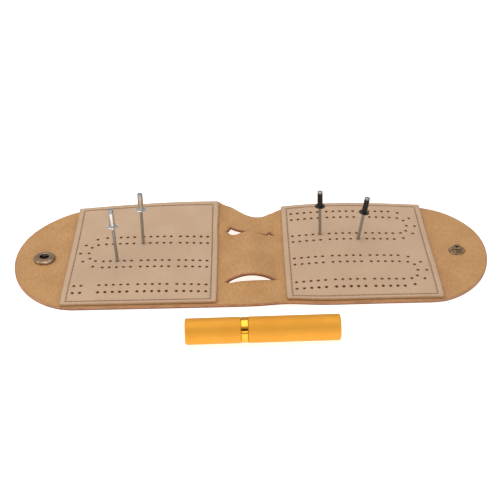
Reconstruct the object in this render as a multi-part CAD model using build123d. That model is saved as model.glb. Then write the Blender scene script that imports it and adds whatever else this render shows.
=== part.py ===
from build123d import *
import os
from math import atan, cos, radians, sin

# Folding leather travel cribbage board, laid open, with four rivet pegs and a metal peg tube.
# Millimetres.  +X runs along the strap to the right, +Y to the back, +Z up from the table.
# The origin is on the table, at the centre of the footprint of board and tube together.

# ---- driving dimensions -------------------------------------------------------------------
STRAP_LENGTH = 279.4          # 11 in
STRAP_DEPTH = 101.6           # 4 in
STRAP_THICK = 1.8
FLAP_ROUND = 41.7             # length of the half-elliptical end of the strap
SPINE_FOLD = 8.0              # fold line of each wing, from the centre line
FLAP_FOLD = 107.1             # fold line of each flap, from the centre line
FOLD_GAP = 0.1                # split between the rigid stretches of the strap
NOTCH_DEEP = 11.8             # thumb notch in the back edge of the spine
NOTCH_LEFT = 20.0             # its reach to each side of its deepest place
NOTCH_RIGHT = 24.0
NOTCH_X = 3.0

SLIT_HALF = 15.0              # half length of the two slits beside the keeper band
BAND_FRONT = -28.0            # front and back edge of the keeper band
BAND_BACK = 21.3
SLIT_GAP = 0.5
BAND_RISE = 4.6               # clear height under the middle of the band

PANEL_WIDTH = 87.2
PANEL_DEPTH = 98.4
PANEL_THICK = 1.5
PANEL_CENTRE = 63.2           # centre of a panel, from the spine's centre line
PANEL_CORNER = 1.5
PANEL_EDGE_ROUND = 0.45

HOLE_R = 0.95
HOLE_PITCH = 4.1
GROUP_HOLES = 5
GROUPS = 3
GROUP_PITCH = 22.03           # from the start of one group to the next
FIRST_HOLE = 25.7             # from the spine's centre line
ROW_PITCH = 24.4              # from one double row to the next
LANE_GAP = 6.5                # between the two lanes of a double row
START_STEP = 10.1             # from the end of the front row to the starting holes
TURN_STEP_DEG = 33.4          # from hole to hole round a turn
TURN_OUTER_REACH = 14.5       # how far each lane of a turn runs past the last straight hole
TURN_INNER_REACH = 9.4
TURN_OUTER_POWER = 2.0        # the outer lane is an ellipse, the inner one a squarer curve
TURN_INNER_POWER = 2.7

STITCH_INSET = 3.4
STITCH_PITCH = 3.36
STITCH_LENGTH = 2.2
STITCH_R = 0.34

FLAP_RISE_DEG = 2.5           # a flap rests on its snap, so its tip stands a little high
SNAP_FROM_FOLD = 14.9
SNAP_Y = -2.0
SNAP_POST_R = 1.75
SNAP_PRESS = 0.4              # how far the snap's foot is pressed into the leather
SOCKET_R = 6.5
SOCKET_HIGH = 2.2
STUD_R = 4.6
STUD_HIGH = 3.2
CAP_R = 6.25                  # the snap's domed cap, under the left flap
CAP_DOME = 0.9
EYELET_R = 4.3                # the snap's eyelet foot, under the right flap
EYELET_DOME = 0.7
POST_BORE_R = 1.35
SNAP_FLOOR = 0.5              # plate thickness of the socket and the stud
SPRING_WIRE_R = 0.28

PEG_SHAFT_R = 0.9
PEG_FLANGE_R = 3.175          # 1/8 in blind rivet
PEG_FLANGE_THICK = 0.9
PEG_BARREL_R = 1.65
PEG_BORE_GAP = 0.03           # between the rivet body's bore and the mandrel
PEG_LIFT = 0.1                # gap between a peg's tip and the table
PEG_CREST = 1.6               # the wings bow up off the table by about this much

TUBE_R = 7.0
TUBE_LENGTH = 81.9
TUBE_X = 5.5                  # middle of the tube
TUBE_TURN_DEG = 1.0           # its right end lies a little further back than its left end
TUBE_CLEAR = 22.6             # between the middle of the tube and the front edge of the strap
TUBE_WALL = 0.8
TUBE_END_WALL = 1.2
TUBE_END_ROUND = 0.9
TUBE_MOUTH_CHAMFER = 0.15
CAP_LENGTH = 29.4
COLLAR_LENGTH = 4.0
COLLAR_R = 6.95
COLLAR_CHAMFER = 0.35
SLEEVE_WALL = 0.5
SLEEVE_IN_BODY = 12.0
SLEEVE_IN_CAP = 14.0
RUNNING_FIT = 0.06

# ---- derived places -----------------------------------------------------------------------
TUBE_TURN = radians(TUBE_TURN_DEG)
TUBE_REACH = ((TUBE_R - TUBE_END_ROUND) * cos(TUBE_TURN)
              + (TUBE_LENGTH / 2 - TUBE_END_ROUND) * sin(TUBE_TURN) + TUBE_END_ROUND)
FOOTPRINT_DEPTH = STRAP_DEPTH + TUBE_CLEAR + TUBE_R + TUBE_REACH
BOARD_Y = (FOOTPRINT_DEPTH - STRAP_DEPTH) / 2
TUBE_Y = TUBE_REACH - FOOTPRINT_DEPTH / 2
PANEL_TOP = STRAP_THICK + PANEL_THICK
LAST_HOLE = FIRST_HOLE + (GROUPS - 1) * GROUP_PITCH + (GROUP_HOLES - 1) * HOLE_PITCH
PIERCE = 4 * PANEL_TOP        # long enough to cut through both leathers
LEFT, RIGHT = -1, 1
FRONT_ROWS = (-1.5, -0.5, 0.5, 1.5)

os.makedirs("parts", exist_ok=True)


def save(part, node, y=BOARD_Y):
    """Write one sub-part, moved from the board's own centre line into the shared frame."""
    placed = Pos(0, y, 0) * part
    placed.label = node
    export_step(placed, f"parts/{node}.step")


# ---- outlines -----------------------------------------------------------------------------
def s_bend(run, rise):
    """Radius and turn of the two equal arcs that step sideways by rise within run."""
    turn = 2 * atan(rise / run)
    return run / 2 / sin(turn), turn


def notch():
    """Thumb notch: an S-bend down from each side, the two meeting at its bottom."""
    back = STRAP_DEPTH / 2
    edges = Polyline((-NOTCH_LEFT, back), (-NOTCH_LEFT, back + 1), (NOTCH_RIGHT, back + 1),
                     (NOTCH_RIGHT, back)).edges()
    for sign, reach in ((-1, NOTCH_LEFT), (1, NOTCH_RIGHT)):
        radius, turn = s_bend(reach, NOTCH_DEEP)
        along, sag = radius * sin(turn / 2), radius * (1 - cos(turn / 2))
        knee = (sign * reach / 2, back - NOTCH_DEEP / 2)
        edges += ThreePointArc((sign * reach, back), (sign * (reach - along), back - sag),
                               knee).edges()
        edges += ThreePointArc(knee, (sign * along, back - NOTCH_DEEP + sag),
                               (0, back - NOTCH_DEEP)).edges()
    return Pos(NOTCH_X, 0) * make_face(edges)


def strap_face():
    """The whole strap: straight sides, half-elliptical ends, notch at the back of the spine."""
    side = STRAP_LENGTH / 2 - FLAP_ROUND
    end = Ellipse(FLAP_ROUND, STRAP_DEPTH / 2)
    outline = Rectangle(2 * side, STRAP_DEPTH) + Pos(-side, 0) * end + Pos(side, 0) * end
    return outline - notch()


def strap_stretch(x_low, x_high, y_low=-STRAP_DEPTH, y_high=STRAP_DEPTH):
    """The stretch of the strap between two places along it, as flat leather."""
    window = Pos((x_low + x_high) / 2, (y_low + y_high) / 2) * Rectangle(
        x_high - x_low, y_high - y_low)
    return extrude(strap_face() & window, STRAP_THICK)


# ---- peg holes ----------------------------------------------------------------------------
def lane_y(row, lane):
    """Y of one lane: row is counted in row pitches from the centre, lane is -1 or +1."""
    return row * ROW_PITCH + lane * LANE_GAP / 2


def lane_x(side, index):
    """X of one hole of a straight lane, counted from the spine."""
    group, place = divmod(index, GROUP_HOLES)
    return side * (FIRST_HOLE + group * GROUP_PITCH + place * HOLE_PITCH)


def straight_holes(side, row):
    return [(lane_x(side, index), lane_y(row, lane))
            for lane in (-1, 1) for index in range(GROUPS * GROUP_HOLES)]


def turn_holes(side, row_middle):
    """Two lanes of five holes round the turn between the rows above and below row_middle."""
    holes = []
    outer = (TURN_OUTER_REACH, (ROW_PITCH + LANE_GAP) / 2, TURN_OUTER_POWER)
    inner = (TURN_INNER_REACH, (ROW_PITCH - LANE_GAP) / 2, TURN_INNER_POWER)
    for reach, half, power in (outer, inner):
        for step in (-2, -1, 0, 1, 2):
            angle = radians(TURN_STEP_DEG * step)
            out = reach * cos(angle) ** (2 / power)
            up = half * abs(sin(angle)) ** (2 / power)
            holes.append((side * (LAST_HOLE + out),
                          row_middle * ROW_PITCH + (up if step > 0 else -up)))
    return holes


def start_holes(side, row):
    first = LAST_HOLE + START_STEP
    return [(side * (first + k * HOLE_PITCH), lane_y(row, lane))
            for lane in (-1, 1) for k in (0, 1)]


def wing_holes(side):
    if side == LEFT:
        rows = [hole for row in FRONT_ROWS[:3] for hole in straight_holes(side, row)]
        return rows + turn_holes(side, 0) + start_holes(side, FRONT_ROWS[0])
    rows = [hole for row in FRONT_ROWS for hole in straight_holes(side, row)]
    return rows + turn_holes(side, -1) + turn_holes(side, 1)


# Each peg: side, place in its lane counted from the spine, row, lane, lean towards +X in
# degrees, length of bare shaft above the leather, barrel length, mandrel head length.
PEGS = {
    "peg_silver_front": (LEFT, 12, FRONT_ROWS[1], 1, -1.7, 23.2, 8.8, 1.9),
    "peg_silver_back": (LEFT, 9, FRONT_ROWS[2], -1, 0.6, 23.6, 8.8, 1.3),
    "peg_black_back": (RIGHT, 4, FRONT_ROWS[2], 1, -0.9, 19.4, 8.5, 1.1),
    "peg_black_front": (RIGHT, 9, FRONT_ROWS[2], -1, 9.0, 18.6, 8.5, 1.2),
}


def peg_place(name):
    """Hole of a peg, and the frame whose Z is the peg's axis, at the panel's top surface."""
    side, index, row, lane, lean = PEGS[name][:5]
    x, y = lane_x(side, index), lane_y(row, lane)
    return (x, y), Pos(x, y, PANEL_TOP) * Rot(0, lean, 0)


def pierce(slab, side):
    """Cut every peg hole of one wing; a hole that holds a peg leans with its peg."""
    taken = dict(peg_place(name) for name in PEGS if PEGS[name][0] == side)
    free = [hole for hole in wing_holes(side) if hole not in taken]
    drills = [Pos(x, y, 0) * Cylinder(HOLE_R, PIERCE) for x, y in free]
    drills += [frame * Cylinder(HOLE_R, PIERCE) for frame in taken.values()]
    return slab.cut(*drills)


# ---- leather ------------------------------------------------------------------------------
def wing_strap(side):
    """Strap under one panel; its inner end is cut back round the keeper band."""
    ends = sorted((side * (SPINE_FOLD + FOLD_GAP / 2), side * (FLAP_FOLD - FOLD_GAP / 2)))
    slab = strap_stretch(*ends)
    slab -= Pos(0, (BAND_FRONT + BAND_BACK) / 2, 0) * Box(
        2 * (SLIT_HALF + SLIT_GAP), BAND_BACK - BAND_FRONT + 2 * SLIT_GAP, PIERCE)
    return pierce(slab, side)


def panel(side):
    """Lighter leather face sewn on the strap, with rounded upper edges."""
    plate = Pos(0, 0, STRAP_THICK) * extrude(
        RectangleRounded(PANEL_WIDTH, PANEL_DEPTH, PANEL_CORNER), PANEL_THICK)
    plate = fillet(plate.faces().sort_by(Axis.Z)[-1].edges(), PANEL_EDGE_ROUND)
    return pierce(Pos(side * PANEL_CENTRE, 0, 0) * plate, side)


def stitching(side):
    """One row of thread stitches round the panel, each a half-round bar on the leather."""
    straight = STITCH_LENGTH - 2 * STITCH_R
    bar = Rot(0, 90, 0) * Cylinder(STITCH_R, straight)
    bar += Pos(straight / 2, 0, 0) * Sphere(STITCH_R)
    bar += Pos(-straight / 2, 0, 0) * Sphere(STITCH_R)
    bar &= Pos(0, 0, STITCH_R) * Box(STITCH_LENGTH, 2 * STITCH_R, 2 * STITCH_R)
    half_x = PANEL_WIDTH / 2 - STITCH_INSET
    half_y = PANEL_DEPTH / 2 - STITCH_INSET
    stitches = []
    for half_run, half_off, spin in ((half_x, half_y, 0), (half_y, half_x, 90)):
        count = round(2 * half_run / STITCH_PITCH)
        for k in range(count):
            along = -half_run + (k + 0.5) * 2 * half_run / count
            for off in (-half_off, half_off):
                x, y = (along, off) if spin == 0 else (off, along)
                place = Pos(side * PANEL_CENTRE + x, y, PANEL_TOP) * Rot(0, 0, spin)
                stitches.append(place * bar)
    return Compound(children=stitches)


def spine(y_low, y_high):
    edge = SPINE_FOLD - FOLD_GAP / 2
    return strap_stretch(-edge, edge, y_low, y_high)


def keeper_band():
    """The strip between the slits, bowed up in two matching S-bends over the tube's path."""
    radius, turn = s_bend(SLIT_HALF, BAND_RISE)
    mid = STRAP_THICK / 2

    def foot(sign, angle, offset):
        """A point of the arc that leaves the table, offset from the band's middle surface."""
        foot_r = radius - offset
        return sign * (SLIT_HALF - foot_r * sin(angle)), mid + radius - foot_r * cos(angle)

    edges = []
    for offset in (-mid, mid):
        crest = (0, mid + BAND_RISE + offset)
        for sign in (-1, 1):
            edges += ThreePointArc(foot(sign, 0, offset), foot(sign, turn / 2, offset),
                                   foot(sign, turn, offset)).edges()
        edges += ThreePointArc(foot(-1, turn, offset), crest, foot(1, turn, offset)).edges()
    for sign in (-1, 1):
        edges += Line((sign * SLIT_HALF, 0), (sign * SLIT_HALF, STRAP_THICK)).edges()
    section = make_face(edges)
    return Rot(90, 0, 0) * Pos(0, 0, -BAND_BACK) * extrude(section, BAND_BACK - BAND_FRONT)


def on_flap(side, part):
    """Swing a flat-built flap piece up about its fold line, and mirror it to its side."""
    hinge = Pos(FLAP_FOLD, 0, STRAP_THICK)
    placed = hinge * Rot(0, -FLAP_RISE_DEG, 0) * Pos(-FLAP_FOLD, 0, -STRAP_THICK) * part
    return placed if side == RIGHT else mirror(placed, Plane.YZ)


def flap(side, foot_r):
    """Rounded end of the strap, pierced for the snap's post and dented by its foot."""
    leather = strap_stretch(FLAP_FOLD + FOLD_GAP / 2, STRAP_LENGTH / 2 + 1)
    snap = Pos(FLAP_FOLD + SNAP_FROM_FOLD, SNAP_Y, 0)
    leather -= snap * Cylinder(SNAP_POST_R, PIERCE)
    leather -= snap * Cylinder(foot_r, 2 * SNAP_PRESS)
    return on_flap(side, leather)


# ---- snap fastener ------------------------------------------------------------------------
def turned(points):
    """A solid of revolution about Z from (radius, height) corners."""
    section = make_face(Polyline(*[(r, 0, z) for r, z in points], close=True).edges())
    return revolve(section, Axis.Z)


def at_snap(side, part):
    return on_flap(side, Pos(FLAP_FOLD + SNAP_FROM_FOLD, SNAP_Y, STRAP_THICK) * part)


def snap_foot(foot_r, dome):
    """Domed foot under the leather with a tubular post rolled over the part above."""
    under = -STRAP_THICK + SNAP_PRESS
    roll_r = SNAP_POST_R + 0.55
    floor = SNAP_FLOOR
    return turned([(0, under - dome), (foot_r * 0.55, under - dome * 0.86),
                   (foot_r * 0.88, under - dome * 0.5), (foot_r, under - 0.15), (foot_r, under),
                   (SNAP_POST_R, under), (SNAP_POST_R, floor), (roll_r, floor),
                   (roll_r, floor + 0.2), (SNAP_POST_R, floor + 0.4),
                   (POST_BORE_R, floor + 0.3), (POST_BORE_R, under - 0.1), (0, under - 0.1)])


def snap_socket():
    """Hollow ring on the left flap: floor, rolled rim and a mouth for the stud."""
    rim, mouth, cavity = SOCKET_R, 2.75, 4.6
    lip = SOCKET_HIGH - 0.6
    return turned([(SNAP_POST_R, 0), (rim - 0.5, 0), (rim - 0.1, 0.3), (rim, 0.8),
                   (rim - 0.35, 1.4), (rim - 1.2, 1.75), (rim - 1.6, 1.7),
                   (cavity - 0.2, 1.75), (cavity - 0.6, SOCKET_HIGH),
                   (mouth + 0.4, SOCKET_HIGH), (mouth, SOCKET_HIGH - 0.2), (mouth, lip),
                   (cavity - 0.5, lip), (cavity, lip - 0.3), (cavity, SNAP_FLOOR),
                   (SNAP_POST_R, SNAP_FLOOR)])


def snap_spring():
    """Bent wire in the socket; its two legs close on the stud's neck."""
    leg_y, leg_start, leg_end = 2.3, -2.9, 1.7
    height = SNAP_FLOOR + 0.42 + SPRING_WIRE_R
    path = Line((leg_start, -leg_y, height), (leg_end, -leg_y, height)).edges()
    path += ThreePointArc((leg_end, -leg_y, height), (leg_end + leg_y, 0, height),
                          (leg_end, leg_y, height)).edges()
    path += Line((leg_end, leg_y, height), (leg_start, leg_y, height)).edges()
    start = Plane(origin=(leg_start, -leg_y, height), z_dir=(1, 0, 0))
    return sweep(start * Circle(SPRING_WIRE_R), path=Wire(path))


def snap_stud():
    """Flanged ring on the right flap with a waisted button."""
    rim, neck, head = STUD_R, 2.1, 2.5
    mouth, bore, pocket = 1.1, 1.8, 2.35
    return turned([(SNAP_POST_R, 0), (rim - 0.3, 0), (rim, 0.3), (rim - 0.25, 0.75),
                   (rim - 0.9, 0.85), (neck + 0.45, 0.8), (neck, 1.2), (neck, 1.7),
                   (head, STUD_HIGH - 0.9), (head, STUD_HIGH - 0.5), (head - 0.35, STUD_HIGH),
                   (mouth + 0.25, STUD_HIGH), (mouth, STUD_HIGH - 0.35),
                   (bore, SNAP_FLOOR + 0.75), (pocket, SNAP_FLOOR + 0.45),
                   (pocket, SNAP_FLOOR), (SNAP_POST_R, SNAP_FLOOR)])


# ---- pegs ---------------------------------------------------------------------------------
def peg_parts(name):
    """A blind rivet standing on its mandrel: mandrel below and head on top, body between."""
    lean, shaft, barrel, head = PEGS[name][4:]
    frame = peg_place(name)[1]
    tip = -(PANEL_TOP - PEG_LIFT) / cos(radians(lean)) + PEG_SHAFT_R * abs(sin(radians(lean)))
    seat = PEG_CREST + shaft
    top = seat + PEG_FLANGE_THICK + barrel
    core, barrel_r, rim = PEG_SHAFT_R, PEG_BARREL_R, PEG_FLANGE_R
    head_r, dome = barrel_r - 0.05, 0.3
    mandrel = turned([(0, tip), (core * 0.55, tip), (core, tip + 0.6), (core, top),
                      (head_r, top), (head_r, top + head - dome),
                      (head_r * 0.8, top + head - 0.1), (head_r * 0.4, top + head),
                      (0, top + head)])
    bore = core + PEG_BORE_GAP
    shoulder = seat + PEG_FLANGE_THICK
    body = turned([(bore, seat), (rim - 0.3, seat), (rim, seat + 0.25), (rim, seat + 0.45),
                   (rim - 0.35, seat + 0.75), (rim * 0.66, shoulder - 0.02),
                   (barrel_r + 0.1, shoulder), (barrel_r, shoulder + 0.1),
                   (barrel_r, top - 0.3), (barrel_r - 0.15, top), (bore, top)])
    return frame * mandrel, frame * body


# ---- peg tube -----------------------------------------------------------------------------
def tube_shell(length, bore_r, face):
    """A closed-ended thin can along +X, its mouth at face, its outer end rounded."""
    can = Cylinder(TUBE_R, length, align=(Align.CENTER, Align.CENTER, Align.MIN))
    can = fillet(can.edges().sort_by(Axis.Z)[-1], TUBE_END_ROUND)
    can = chamfer(can.edges().sort_by(Axis.Z)[0], TUBE_MOUTH_CHAMFER)
    can -= Cylinder(bore_r, length - TUBE_END_WALL,
                    align=(Align.CENTER, Align.CENTER, Align.MIN))
    return Pos(face, 0, TUBE_R) * Rot(0, 90, 0) * can


def ring_along_x(outer_r, inner_r, x_low, x_high, edge):
    ring = Cylinder(outer_r, x_high - x_low)
    if edge:
        ring = chamfer(ring.edges().filter_by(GeomType.CIRCLE), edge)
    ring -= Cylinder(inner_r, x_high - x_low)
    return Pos((x_low + x_high) / 2, 0, TUBE_R) * Rot(0, 90, 0) * ring


def tube_parts():
    """The four pieces of the tube, built along X about its own middle and then turned."""
    cap_face = CAP_LENGTH - TUBE_LENGTH / 2
    body_face = cap_face + COLLAR_LENGTH
    body_length = TUBE_LENGTH - CAP_LENGTH - COLLAR_LENGTH
    sleeve_r = TUBE_R - TUBE_WALL
    body = tube_shell(body_length, sleeve_r, body_face)
    cap = mirror(tube_shell(CAP_LENGTH - FOLD_GAP, sleeve_r + RUNNING_FIT,
                            FOLD_GAP - cap_face), Plane.YZ)
    collar = ring_along_x(COLLAR_R, sleeve_r, cap_face, body_face, COLLAR_CHAMFER)
    sleeve = ring_along_x(sleeve_r, sleeve_r - SLEEVE_WALL, cap_face - SLEEVE_IN_CAP,
                          body_face + SLEEVE_IN_BODY, 0)
    pieces = {"tube_body": body, "tube_cap": cap, "tube_collar": collar, "tube_sleeve": sleeve}
    place = Pos(TUBE_X, 0, 0) * Rot(0, 0, TUBE_TURN_DEG)
    return {node: place * piece for node, piece in pieces.items()}


# ---- the assembly -------------------------------------------------------------------------
SIDES = (("left", LEFT), ("right", RIGHT))

save(spine(-STRAP_DEPTH, BAND_FRONT - SLIT_GAP), "spine_front")
save(spine(BAND_BACK + SLIT_GAP, STRAP_DEPTH), "spine_back")
save(keeper_band(), "keeper_band")
for side_name, side_sign in SIDES:
    save(wing_strap(side_sign), f"strap_{side_name}")
    save(panel(side_sign), f"panel_{side_name}")
    save(stitching(side_sign), f"stitching_{side_name}")
save(flap(LEFT, CAP_R), "flap_left")
save(flap(RIGHT, EYELET_R), "flap_right")
save(at_snap(LEFT, snap_foot(CAP_R, CAP_DOME)), "snap_cap")
save(at_snap(LEFT, snap_socket()), "snap_socket")
save(at_snap(LEFT, snap_spring()), "snap_spring")
save(at_snap(RIGHT, snap_foot(EYELET_R, EYELET_DOME)), "snap_eyelet")
save(at_snap(RIGHT, snap_stud()), "snap_stud")
for peg_name in PEGS:
    peg_mandrel, peg_body = peg_parts(peg_name)
    save(peg_mandrel, f"{peg_name}_mandrel")
    save(peg_body, f"{peg_name}_body")
for tube_node, tube_part in tube_parts().items():
    save(tube_part, tube_node, TUBE_Y)
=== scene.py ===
import math
import bpy
import numpy as np
from mathutils import Matrix, Vector
from mathutils.geometry import delaunay_2d_cdt


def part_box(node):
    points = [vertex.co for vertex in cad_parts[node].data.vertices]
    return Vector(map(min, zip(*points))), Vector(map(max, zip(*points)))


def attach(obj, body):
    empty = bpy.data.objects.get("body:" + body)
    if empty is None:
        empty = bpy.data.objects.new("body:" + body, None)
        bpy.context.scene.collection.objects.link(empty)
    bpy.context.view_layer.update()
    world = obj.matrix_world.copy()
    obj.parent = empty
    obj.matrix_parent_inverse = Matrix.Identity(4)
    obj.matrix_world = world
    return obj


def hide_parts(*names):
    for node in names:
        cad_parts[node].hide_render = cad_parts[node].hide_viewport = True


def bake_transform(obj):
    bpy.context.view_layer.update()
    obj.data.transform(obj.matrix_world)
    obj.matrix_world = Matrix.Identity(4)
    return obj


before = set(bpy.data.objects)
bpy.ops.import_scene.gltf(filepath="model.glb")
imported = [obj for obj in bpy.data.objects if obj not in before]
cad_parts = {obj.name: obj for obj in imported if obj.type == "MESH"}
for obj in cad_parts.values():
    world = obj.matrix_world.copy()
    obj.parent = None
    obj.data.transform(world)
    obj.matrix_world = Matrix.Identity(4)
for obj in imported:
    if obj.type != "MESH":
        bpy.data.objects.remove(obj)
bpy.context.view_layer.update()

# The leather is modelled in millimetres from the middle of the open board, +X to the stud
# flap, +Y to the back and +Z up from the table.  to_metres() turns that into the shared frame.
MM = 0.001
LEFT, RIGHT = -1, 1
strap_low, strap_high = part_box("strap_left")
panel_low, panel_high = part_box("panel_left")
BOARD_Y = (strap_low.y + strap_high.y) / 2

# ---- leather sizes, as in the CAD ------------------------------------------------------------
STRAP_THICK = round((strap_high.z - strap_low.z) / MM, 3)
PANEL_TOP = round(panel_high.z / MM, 3)
STRAP_HALF_DEPTH = round((strap_high.y - strap_low.y) / 2 / MM, 3)
STRAP_HALF = round(-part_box("flap_left")[0].x / MM, 1)
FLAP_ROUND = 41.7
FLAP_FOLD = 107.1
FLAP_RISE = math.tan(math.radians(2.5))
PANEL_HALF_X = round((panel_high.x - panel_low.x) / 2 / MM, 3)
PANEL_HALF_Y = round((panel_high.y - panel_low.y) / 2 / MM, 3)
PANEL_CENTRE = round(-(panel_high.x + panel_low.x) / 2 / MM, 3)
PANEL_CORNER = 1.0
NOTCH_DEEP, NOTCH_LEFT, NOTCH_RIGHT, NOTCH_X = 11.8, 20.0, 24.0, 3.0
SLIT_HALF, SLIT_WIDE = 15.0, 0.7
SLIT_FRONT, SLIT_BACK = (-28.0, 0.04), (21.3, -0.067)   # Y at the middle, and slope along X
SEAM = 67.0                    # the strap's two meshes of one wing meet here, under the panel

SNAP_X, SNAP_Y = 122.0, -2.0

HOLE_R = 0.95                  # a hole with a peg in it; the others have closed a little
FREE_HOLE_R = 0.84
HOLE_PITCH, GROUP_HOLES, GROUPS, GROUP_PITCH, FIRST_HOLE = 4.1, 5, 3, 22.03, 25.7
ROW_PITCH, LANE_GAP, START_STEP = 24.4, 6.5, 10.1
TURN_STEP_DEG = 33.4
TURN_LANES = ((14.5, (ROW_PITCH + LANE_GAP) / 2, 2.0), (9.4, (ROW_PITCH - LANE_GAP) / 2, 2.7))
LAST_HOLE = FIRST_HOLE + (GROUPS - 1) * GROUP_PITCH + (GROUP_HOLES - 1) * HOLE_PITCH
# Side, place in the lane, row, lane and lean in degrees of every peg.
PEGS = ((LEFT, 12, -0.5, 1, -1.7), (LEFT, 9, 0.5, -1, 0.6), (RIGHT, 4, 0.5, 1, -0.9),
        (RIGHT, 9, 0.5, -1, 9.0))

STITCH_PITCH, STITCH_GAP, STITCH_R = 3.36, 0.75, 0.32
STITCH_HALF_X, STITCH_HALF_Y = PANEL_HALF_X - 3.4, PANEL_HALF_Y - 2.8
STITCH_Y = -0.3                # the stitches run a little nearer to the panel's front edge


def to_metres(points):
    """Millimetres from the board's middle to metres in the shared frame."""
    return points * MM + np.array([0.0, BOARD_Y, 0.0])


# ---- how the leather lies ------------------------------------------------------------------
def smooth(t):
    t = np.clip(t, 0, 1)
    return t * t * (3 - 2 * t)


def mix(a, b, share):
    return a + (b - a) * share


def hump(x, middle, width):
    return np.exp(-((x - middle) / width) ** 2)


LEFT_CROWN, RIGHT_CROWN = 1.6, 2.15      # each wing bows up by this much in its middle
RIGHT_CROWN_AT = -0.2                    # the right wing's is nearer to the spine
OUTER_END = 1.05                         # height of the outer end, where the flap begins
LEFT_BACK_INNER, LEFT_BACK_OUTER = 6.9, 2.3     # the left wing's back edge curls up most
RIGHT_BACK_INNER, RIGHT_BACK_OUTER = 1.9, 1.1
FLAP_START = {LEFT: 97.0, RIGHT: 100.0}  # the strap leaves the panel here to lie as the flap
FLAP_BLEND = {LEFT: 9.0, RIGHT: 11.0}
LEFT_FLAP_CURL = 2.2                     # the back edge of the left flap stays up a little
FLAP_TAKE_UP = 0.65                      # reach that each flap loses to the leather's waves
SLIT_SHOULDER = 1.7                      # the leather bulges behind the back slit's left end
BAND_FRONT_RISE, BAND_BACK_RISE = 5.2, 3.1       # the keeper band's bow at its two edges
BACK_STRIP_RISE = 1.9                    # the strip behind the band bows too
FRONT_STRIP_RISE = 0.65
FRONT_LIFT, FRONT_LIFT_AT, FRONT_LIFT_WIDE = 1.2, 20, 14   # the front edge, right of the spine
FRONT_RIGHT_RISE = 0.35
SHOULDER_X, SHOULDER_Y = -15.5, 24       # middle of the bulge at the back slit, and its widths
SHOULDER_WIDE, SHOULDER_DEEP = 4.5, 10
LIE_FROM, LIE_REACH = -1.03, 0.28        # in half panels: where the wave takes over at the front
LEFT_HOLD, LEFT_DROP = 0.29, 0.08        # how the left wing's height carries over the spine
BACK_LIFT, BACK_LIFT_AT = 1.7, 12        # the strip behind the band, at the slit's right end
FLAP_LEVEL = 0.5                         # the back of the right flap lies this much lower


def left_rise(t, w):
    """Height of the left wing; t and w run from -1 to 1 outwards and backwards on its panel."""
    crown = LEFT_CROWN * (1 - np.minimum(np.abs(t), 1) ** 2) + OUTER_END * np.clip(t, 0, 1) ** 2
    back = mix(LEFT_BACK_INNER, LEFT_BACK_OUTER, (np.clip(t, -1, 1) + 1) / 2)
    return crown + back * np.clip((w + 0.3) / 1.3, 0, 1.05) ** 2.2


def right_rise(t, w):
    reach = np.where(t < RIGHT_CROWN_AT, 1 + RIGHT_CROWN_AT, 1 - RIGHT_CROWN_AT)
    fall = np.minimum(np.abs(t - RIGHT_CROWN_AT) / reach, 1) ** 1.8
    outer = OUTER_END * np.clip(t, 0, 1) ** 2 * smooth(-2 * w)
    back = mix(RIGHT_BACK_INNER, RIGHT_BACK_OUTER, (np.clip(t, -1, 1) + 1) / 2)
    return RIGHT_CROWN * (1 - fall) + outer + back * np.clip((w - 0.4) / 0.6, 0, 1.1) ** 1.5


def front_edge_rise(x):
    """The front edge of the strap lies almost flat, and lifts a little right of the spine."""
    lift = FRONT_LIFT * hump(x, FRONT_LIFT_AT, FRONT_LIFT_WIDE)
    return lift + FRONT_RIGHT_RISE * smooth((x - 25) / 60)


def slit_line(slit, x):
    return slit[0] + slit[1] * x


def on_band(x, y):
    """True on the keeper band, between the two slits."""
    between = (y > slit_line(SLIT_FRONT, x)) & (y < slit_line(SLIT_BACK, x))
    return between & (np.abs(x) < SLIT_HALF)


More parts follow.
